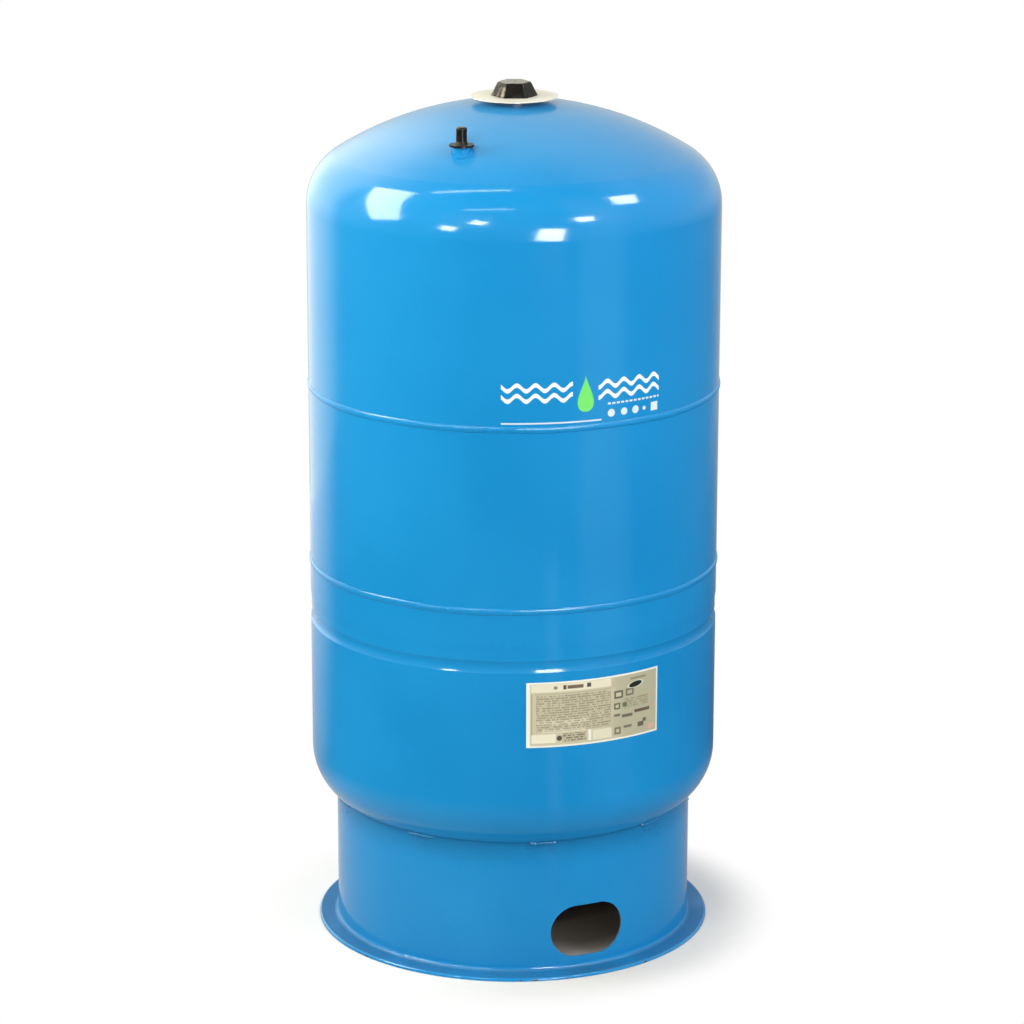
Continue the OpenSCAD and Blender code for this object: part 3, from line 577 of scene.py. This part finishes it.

# %% [markdown]
# ## Metals, plastics and rubbers
# The fittings are plain or plated steel, turned brass, rubber and moulded plastic, and each has its grain.
# For most of them one noise is enough, stretched for brushed metal, because it can drive the tint, the gloss
# and the relief together. Brass also has the rings of the lathe and its thread. The black plastic is paler on
# what faces up, by dust and a painted sheen, and the plug has a painted highlight down one edge and painted
# light on the faces turned to the left.

# %% Metals, plastics and rubbers
def plain(name, colour, rough, metal=0.0, grain=400.0, depth=0.00003, stretch=(1.0, 1.0, 1.0), shade=0.85):
    """A finish with grain: the noise is stretched for brushing, and drives tint, gloss and relief."""
    material, shader, place = new_material(name)
    field = noise(stretched(place, *stretch), grain, 4.0)
    stain = noise(place, 30.0, 3.0)
    dark = tuple(c * shade for c in colour[:3]) + (1.0,)
    tint = (field * 0.5 + stain * 0.5).ramp(0.3, 0.7).blend(dark, colour)
    dull = (field * 0.6 + stain * 0.4).ramp(0.3, 0.7, rough * 0.8, rough * 1.25)
    feed(shader, Base_Color=tint, Metallic=metal, Roughness=dull, Normal=bump(field, depth))
    return material


stainless = plain("stainless", srgb(172, 172, 168), 0.42, 1.0, 1400.0, 0.00002)
dress(stainless, "water_elbow", "plug_spud")
plated = plain("plated_steel", srgb(196, 199, 203), 0.30, 1.0, 900.0, 0.00001, (1.0, 1.0, 8.0))
dress(plated, "clamp_hoop", "valve_pin", "valve_spring")
dress(plain("black_rubber", srgb(26, 26, 26), 0.7, depth=0.00004),
      "liner_o_ring", "diaphragm", "plug_o_ring", "pin_seal", "cap_o_ring")
dress(plain("white_plastic", srgb(226, 228, 224), 0.45, shade=0.94), "liner", "water_diffuser", "core_gasket")
dress(plain("cream_plastic", srgb(238, 234, 220), 0.42, grain=160.0, depth=0.0001, shade=0.93), "top_washer")
print("plain finishes ready")

# %% Brass
VALVE_X, VALVE_Y = -0.09348, -0.09027
BRASS = srgb(205, 168, 92)
STEM_THREAD, THREAD_DEPTH = 0.0008, 0.00018
LATHE_RING = 0.0002
FULL_TURN = 2 * math.pi
TURNED_RELIEF = 0.00002


def turned(name, colour, rough, pitch, depth):
    """Brass turned on a lathe: fine rings around the valve's own axis on its ends, the thread on its side."""
    material, shader, place = new_material(name)
    x, y, z = parts(place)
    x, y = x - VALVE_X, y - VALVE_Y
    far = (x * x + y * y) ** 0.5
    thread = ((z / pitch + x.maths("ARCTAN2", y) / FULL_TURN) * FULL_TURN).sine()
    side = far.ramp(0.0034, 0.0037)
    rings = (far * (FULL_TURN / LATHE_RING)).sine()
    tarnish = noise(place, 500.0, 3.0).ramp(0.35, 0.7)
    tint = tarnish.blend(colour, tuple(c * 0.72 for c in colour[:3]) + (1.0,))
    relief = bump(side * thread * depth / TURNED_RELIEF + (1.0 - side) * rings * 0.15, TURNED_RELIEF)
    dull = tarnish.ramp(0.0, 1.0, rough, rough * 1.7)
    feed(shader, Base_Color=tint, Metallic=1.0, Roughness=dull, Normal=relief)
    return material


dress(turned("brass", BRASS, 0.22, STEM_THREAD, THREAD_DEPTH), "valve_stem", "valve_core")
print("brass ready")

# %% Black plastic
KNOB_ABOVE = 0.8
# Where a painted highlight streaks down one edge of the plug's knob, and where painted light pales the faces
# turned to the left
HIGHLIGHT_TURN, HIGHLIGHT_BAND = (-63.0, -52.0), (0.8105, 0.8190)
LIT_SIDE_TURN = (-118.0, -66.0)
BLACK, BROWN_BLACK = srgb(7, 6, 5), srgb(20, 14, 10)
# Pale colour of the painted highlight and the painted light on the plug
PAINTED_LIGHT_PLASTIC = srgb(196, 178, 156)
# Pale grey of the dust and the painted sheen on what faces up
PLASTIC_DUST_AND_SHEEN = srgb(182, 180, 172)


def black_plastic(name, dust_and_sheen):
    """Moulded black plastic, brownish with age; the second argument is how much dust and painted sheen pale
    what faces up.
    """
    material, shader, place = new_material(name)
    x, y, z = parts(place)
    grain = noise(place, 1500.0, 2.0)
    # Dust and a painted sheen pale what faces up
    dust = faces_up(place).ramp(0.70, 0.99) * noise(place, 260.0, 4.0).ramp(0.25, 0.7, 0.6, 1.0) * dust_and_sheen
    colour = noise(place, 90.0, 3.0).ramp(0.35, 0.7).blend(BLACK, BROWN_BLACK)
    turn = around(x, y) * (180 / math.pi)
    # A painted highlight streak down one edge of the knob, and painted light on the faces turned to the left
    worn = turn.within(*HIGHLIGHT_TURN, 2.5) * z.within(*HIGHLIGHT_BAND, 0.0012)
    worn = worn * noise(place, 500.0, 3.0).ramp(0.3, 0.6, 0.25, 0.62)
    lit_side = turn.within(*LIT_SIDE_TURN, 8.0) * noise(place, 210.0, 4.0).ramp(0.50, 0.66) * 0.22
    colour = ((worn + lit_side) * (z > KNOB_ABOVE)).blend(colour, PAINTED_LIGHT_PLASTIC)
    colour = dust.blend(colour, PLASTIC_DUST_AND_SHEEN)
    smear = noise(place, 120.0, 3.0).ramp(0.35, 0.7)
    rough = smear.ramp(0.0, 1.0, 0.26, 0.40) + dust * 0.3
    feed(shader, Base_Color=colour, Roughness=rough, Normal=bump(grain, 0.00001), Specular_IOR_Level=0.22)
    return material


plug_plastic = black_plastic("black_plastic_plug", 0.8)
dress(plug_plastic, "top_plug")
dress(black_plastic("black_plastic_cap", 0.12), "valve_cap")
print("finishes on", len(nodes), "nodes")

# %% [markdown]
# ## Thread in the pipe mouth
# The elbow's mouth takes a 1 inch pipe. Its thread is a three-sided ridge on a helix: the angle grows evenly
# with the depth, 11.5 turns to the inch.

# %% Thread ridge
MOUTH_Y, MOUTH_Z = -0.058, 0.0413
THREAD_R, THREAD_PITCH, THREAD_TURNS = 0.0166, 0.0254 / 11.5, 8
THREAD_START, THREAD_SINK, THREAD_FADE, THREAD_STEPS = 0.0014, 0.0001, 14, 48
RIDGE_H, RIDGE_HALF = 0.0011, 0.45

t = np.linspace(0, 1, THREAD_TURNS * THREAD_STEPS)[:, None]
turn = 2 * np.pi * THREAD_TURNS * t
fade = np.minimum(1, THREAD_FADE * np.minimum(t, 1 - t))
radius = THREAD_R + THREAD_SINK - np.array([[0, RIDGE_H, 0]]) * fade
depth = MOUTH_Y + THREAD_START + THREAD_TURNS * THREAD_PITCH * t
depth = depth + np.array([[-RIDGE_HALF, 0, RIDGE_HALF]]) * THREAD_PITCH
ridge = np.stack([radius * np.cos(turn), depth, MOUTH_Z + radius * np.sin(turn)], -1)
skin("mouth_thread", [ridge], False, stainless, smooth=False)

# %% [markdown]
# ## Top plug
# The plug is moulded, so its six flats meet in soft edges and its shoulder is round. Its plan is a hexagon
# whose corners melt: 1 / r^p is the sum of |cos|^p over the three flat directions, with a high power p. The
# profile runs from the middle of the top over the shoulder and down the flats, in under the knob, down the
# hollow shank and back up its bore.

# %% Plug knob
PLUG_BASE, PLUG_H, PLUG_R, PLUG_TOP_R = 0.8097, 0.01347, 0.0226, 0.0155
PLUG_TURN, PLUG_POWER, PLUG_STEPS = math.radians(35.5), 26, 120
SHOULDER, EDGE, POLE_R = 0.0045, 0.0003, 0.0004
SHANK_R, SHANK_L, SHANK_WALL, BORE_END = 0.013, 0.017, 0.003, 0.004


def plug_knob():
    """Rings of the profile (radius, height, share of hexagon) turned about the tank's axis."""
    lean = math.atan2(PLUG_R - PLUG_TOP_R, PLUG_H)
    run = SHOULDER * math.tan((math.pi / 2 - lean) / 2)
    t = np.linspace(0, 1, 9)
    corner = np.array([PLUG_TOP_R, PLUG_H])
    start, end = corner - [run, 0], corner + run * np.array([math.sin(lean), -math.cos(lean)])
    arc = np.outer((1 - t) ** 2, start) + np.outer(2 * t * (1 - t), corner) + np.outer(t ** 2, end)
    knob = [(POLE_R, PLUG_H), (0.006, PLUG_H), *arc.tolist(), (0.0190, 0.0068), (0.0222, 0.0008),
            (0.0224, EDGE), (0.0221, 0.0), (0.0218, 0.0)]
    inner = SHANK_R - SHANK_WALL
    tube = [(SHANK_R + EDGE, 0.0), (SHANK_R, 0.0), (SHANK_R, -EDGE), (SHANK_R, -SHANK_L + EDGE),
            (SHANK_R - EDGE, -SHANK_L), (inner + EDGE, -SHANK_L), (inner, -SHANK_L + EDGE),
            (inner, -BORE_END - 0.0005), (inner - 0.0005, -BORE_END), (POLE_R, -BORE_END)]
    profile = np.array([(r, z, 1.0) for r, z in knob] + [(r, z, 0.0) for r, z in tube])
    turn = np.linspace(0, 2 * np.pi, PLUG_STEPS, endpoint=False)
    flats = PLUG_TURN + np.pi / 6 + np.arange(3) * np.pi / 3
    cosines = np.abs(np.cos(turn[:, None] - flats[None, :]))
    plan = (cosines ** PLUG_POWER).sum(-1) ** (-1 / PLUG_POWER) * math.cos(math.pi / 6)
    radius = profile[:, :1] * (1 + profile[:, 2:] * (plan[None, :] - 1))
    height = np.broadcast_to(PLUG_BASE + profile[:, 1:2], radius.shape)
    return np.stack([radius * np.cos(turn), radius * np.sin(turn), height], -1)


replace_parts(skin("plug_knob", [plug_knob()], False, plug_plastic), "top_plug")

# %% [markdown]
# ## Valve spring
# The spring stands around the pin, as long as the model's spring. It is a wire of round section on a
# helix: the angle and the height grow evenly along it.

# %% Valve spring
WIRE_R, WIRE_SIDES = 0.00018, 10
COIL_R, COIL_TURNS, COIL_STEPS = 0.001245, 6, 24

low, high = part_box("valve_spring")
coil_low, coil_high = low[2] + WIRE_R, high[2] - WIRE_R
t = np.linspace(0, 1, COIL_STEPS * COIL_TURNS)[:, None]
round_wire = np.linspace(0, 2 * np.pi, WIRE_SIDES, endpoint=False)[None, :]
turn = 2 * np.pi * COIL_TURNS * t
radius = COIL_R + WIRE_R * np.cos(round_wire)
rise = coil_low + (coil_high - coil_low) * t + WIRE_R * np.sin(round_wire)
coil = np.stack([VALVE_X + radius * np.cos(turn), VALVE_Y + radius * np.sin(turn), rise], -1)
piece = skin("valve_coil", [coil], False, plated)
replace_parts(piece, "valve_spring")
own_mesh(piece)

# %% [markdown]
# ## Studio
# The tank stands on a pale floor in a white studio. Diffuse light is an even glow from all sides plus soft
# lamps. What the gloss mirrors is set on its own, from what the real enamel shows: a bright window behind the
# tank on the left, a paler wall behind on the right, a dim room in front, all in a slightly warm tint, and a
# floor that is brightest near the tank.

# %% What the gloss sees
AWAY = Vector((-CAMERA_PLACE.x, -CAMERA_PLACE.y)).normalized()
AMBIENT = 0.55
WHITE = (1.0, 1.0, 1.0, 1.0)
WARM = (1.0, 1.0, 0.84, 1.0)
ROOM_LEVEL, WALL_LEVEL = 0.28, 0.86
# Turns are degrees to the left of straight behind the tank.
WINDOW_TURN, WINDOW_LEVEL = 38, 1.7
GROUND_TURN, GROUND_DARK, GROUND_PALE = 18, 0.18, 0.60
SIDE_TURN, SIDE_LEVEL = -130, 0.45
EYE_LEVEL, WELL_BELOW = 0.05, -0.26
WINDOW_TOP, ABOVE_WINDOW = 0.60, 0.88
CEILING_FROM, CEILING_FULL, CEILING_SHARE = 0.80, 0.97, 0.36


def towards_angle(back, left, degrees):
    """Cosine between a level direction and the one at degrees to the left of straight behind the tank."""
    turn = math.radians(degrees)
    return back * math.cos(turn) + left * math.sin(turn)


def studio_level(x, y, fall, high=0.0):
    """Brightness in a level direction, with its shares of straight behind and left; fall is 0 at eye level
    and 1 well below it, high is 1 above the window."""
    flat = ((x * x + y * y) ** 0.5).high(0.02)
    back = (x * AWAY.x + y * AWAY.y) / flat
    left = (y * AWAY.x - x * AWAY.y) / flat
    level = back.ramp(-0.9, 0.7, ROOM_LEVEL, WALL_LEVEL)
    level = level + towards_angle(back, left, WINDOW_TURN).ramp(0.84, 0.97) * WINDOW_LEVEL * (1.0 - high)
    low = towards_angle(back, left, GROUND_TURN).ramp(0.45, 0.95, GROUND_DARK, GROUND_PALE)
    side = towards_angle(back, left, SIDE_TURN).ramp(0.95, 0.995) * SIDE_LEVEL
    return level * (1.0 - fall * (1.0 - low)) + side, back, left


def background(tree):
    """World: an even glow for diffuse light, white for the camera, the warm studio for reflections."""
    coords = Wire(tree, tree.nodes.new("ShaderNodeTexCoord").outputs["Generated"])
    light_path = tree.nodes.new("ShaderNodeLightPath").outputs
    seen = Wire(tree, light_path["Is Camera Ray"]).high(Wire(tree, light_path["Is Transmission Ray"]))
    glossy = Wire(tree, light_path["Is Glossy Ray"])
    x, y, z = parts(coords)
    level, _, _ = studio_level(x, y, z.ramp(EYE_LEVEL, WELL_BELOW), z.ramp(WINDOW_TOP, ABOVE_WINDOW))
    level = level * z.ramp(CEILING_FROM, CEILING_FULL, 1.0, CEILING_SHARE)
    strength = (1.0 - seen.high(glossy)) * AMBIENT + seen + glossy * level
    tint = glossy.blend(WHITE, WARM)
    return coords.node("ShaderNodeBackground", {"Color": tint, "Strength": strength})


world = bpy.data.worlds.new("studio")
bpy.context.scene.world = world
world.use_nodes = True
world.node_tree.nodes.clear()
world_end = world.node_tree.nodes.new("ShaderNodeOutputWorld")
world.node_tree.links.new(background(world.node_tree).socket, world_end.inputs["Surface"])
print("world ready")

# %% Floor
FLOOR_R = 1.6
FOOT_R = 0.190
FLOOR_COLOUR = (0.62, 0.60, 0.575, 1)
FLOOR_LIFT, LEFT_LIFT = 0.16, 0.22
WHITE_FROM, WHITE_FULL = 0.195, 0.265
STREAK_TURN, STREAK_LEVEL = -159.6, 0.35
NEAR_TURN, NEAR_SWING, NEAR_LEVEL = 60, 0.22, 0.45


def floor_shader(tree):
    """Matt near the tank with a faint glow that is stronger to the left, white for the camera beyond, and its
    own levels in the enamel's gloss."""
    place = Wire(tree, tree.nodes.new("ShaderNodeTexCoord").outputs["Object"])
    light_path = tree.nodes.new("ShaderNodeLightPath").outputs
    seen = Wire(tree, light_path["Is Camera Ray"])
    glossy = Wire(tree, light_path["Is Glossy Ray"])
    x, y, _ = parts(place)
    far = (x * x + y * y) ** 0.5
    white = far.ramp(WHITE_FROM, WHITE_FULL) * seen
    level, back, left = studio_level(x, y, 1.0)
    mirror = level * far.ramp(0.4, 2.4, 0.35, 1.0)
    mirror = mirror + towards_angle(back, left, STREAK_TURN).ramp(0.9965, 0.9995) * STREAK_LEVEL
    near = far.ramp(0.3, 0.75, 1.0, 0.0) * (towards_angle(back, left, NEAR_TURN) * NEAR_SWING + NEAR_LEVEL)
    mirror = mirror.high(near) * far.ramp(FOOT_R - 0.02, FOOT_R, 0.02, 1.0)
    lift = FLOOR_LIFT + left.ramp(-0.2, 0.9) * LEFT_LIFT
    matt = place.node("ShaderNodeBsdfDiffuse", {"Color": FLOOR_COLOUR})
    outside = far.ramp(FOOT_R - 0.004, FOOT_R + 0.004)
    glow = place.node("ShaderNodeEmission", {"Color": WHITE, "Strength": seen * outside * lift})
    lit = place.node("ShaderNodeAddShader", (matt, glow))
    bright = place.node("ShaderNodeEmission", {"Color": WHITE, "Strength": seen + glossy * mirror})
    return place.node("ShaderNodeMixShader", (white.high(glossy), lit, bright))


mesh = bpy.data.meshes.new("floor")
corners = np.array([[-1, -1, 0], [1, -1, 0], [1, 1, 0], [-1, 1, 0]]) * FLOOR_R
mesh.from_pydata(corners.tolist(), [], [(0, 1, 2, 3)])
floor = bpy.data.objects.new("floor", mesh)
bpy.context.scene.collection.objects.link(floor)
material = bpy.data.materials.new("floor")
material.use_nodes = True
material.node_tree.nodes.clear()
floor_end = material.node_tree.nodes.new("ShaderNodeOutputMaterial")
material.node_tree.links.new(floor_shader(material.node_tree).socket, floor_end.inputs["Surface"])
mesh.materials.append(material)
print("floor", 2 * FLOOR_R, "m wide")

# %% [markdown]
# ## Lamps
# Three large soft lamps light the tank: one in front on the right, and two nearer ones on the left with a
# little of a window's warmth. A smaller one lifts the right side of the top head, and a tiny one inside the
# skirt stands for the light that leaks in through the port. The sharp highlights on the knuckle of the top
# head come from lamps that only show in reflections. Each stands where the mirrored ray from its highlight
# goes, and its long side follows the highlight.


# %% Lamps
def lamp(name, at, size, power, aim=(0, 0, 0.5), across=None, colour=(1, 1, 1)):
    """A rectangular area lamp; with a side direction it only shows in gloss, else it only lights."""
    data = bpy.data.lights.new(name, "AREA")
    data.shape = "RECTANGLE"
    data.size, data.size_y = size
    data.energy = power
    data.color = colour
    made = bpy.data.objects.new(name, data)
    bpy.context.scene.collection.objects.link(made)
    out = (Vector(at) - Vector(aim)).normalized()
    side = Vector(across) if across else Vector((0, 0, 1)).cross(out)
    side = (side - out * side.dot(out)).normalized()
    turn = Matrix((side, out.cross(side), out)).transposed().to_4x4()
    made.matrix_world = Matrix.Translation(at) @ turn
    made.visible_camera = False
    made.visible_diffuse = across is None
    made.visible_glossy = across is not None


WINDOW = (1.0, 1.0, 0.85)
LEAK = (1.0, 0.9, 0.78)
lamp("front", (1.21, -2.10, 1.90), (1.2, 1.2), 28)
lamp("left_back", (-1.41, 0.51, 1.35), (0.7, 0.7), 17.0, (0, 0, 0.65), colour=WINDOW)
lamp("left_front", (-1.15, -0.96, 1.35), (0.7, 0.7), 13.5, (0, 0, 0.65), colour=WINDOW)
lamp("leak", (-0.10, -0.08, 0.12), (0.06, 0.06), 0.045, (0.04, 0.165, 0.02), colour=LEAK)
lamp("right_top", (0.95, -0.75, 1.15), (0.5, 0.5), 2.2, (0, 0, 0.75))

KNUCKLE = (-0.10, -0.12, 0.735)
GLINTS = (  # name, place, side direction, size, brightness
    ("softbox", (-1.83, 0.56, 1.81), (-0.02, -0.91, 0.41), (0.85, 1.85), 16),
    ("tube_a", (-0.57, 0.12, 2.85), (0.91, -0.32, 0.24), (1.11, 0.12), 10),
    ("tube_b", (-1.06, -1.20, 2.39), (0.85, -0.49, 0.18), (0.93, 0.10), 7),
    ("spot_a", (-2.28, -1.34, 1.15), (0.45, -0.86, -0.22), (0.36, 0.34), 28),
    ("spot_b", (-1.72, -1.78, 1.71), (0.56, -0.76, -0.35), (0.36, 0.32), 28),
    ("spot_c", (-0.24, -2.64, 0.85), (0.99, -0.09, -0.14), (0.66, 0.80), 28),
    ("spot_d", (0.63, -2.34, 1.81), (0.97, 0.23, -0.10), (0.44, 0.36), 28),
    ("spot_e", (1.52, -1.13, 2.48), (0.78, 0.50, -0.37), (0.55, 0.62), 22),
)
for name, at, across_it, size, level in GLINTS:
    lamp(name, at, size, level * math.pi * size[0] * size[1], KNUCKLE, across_it)
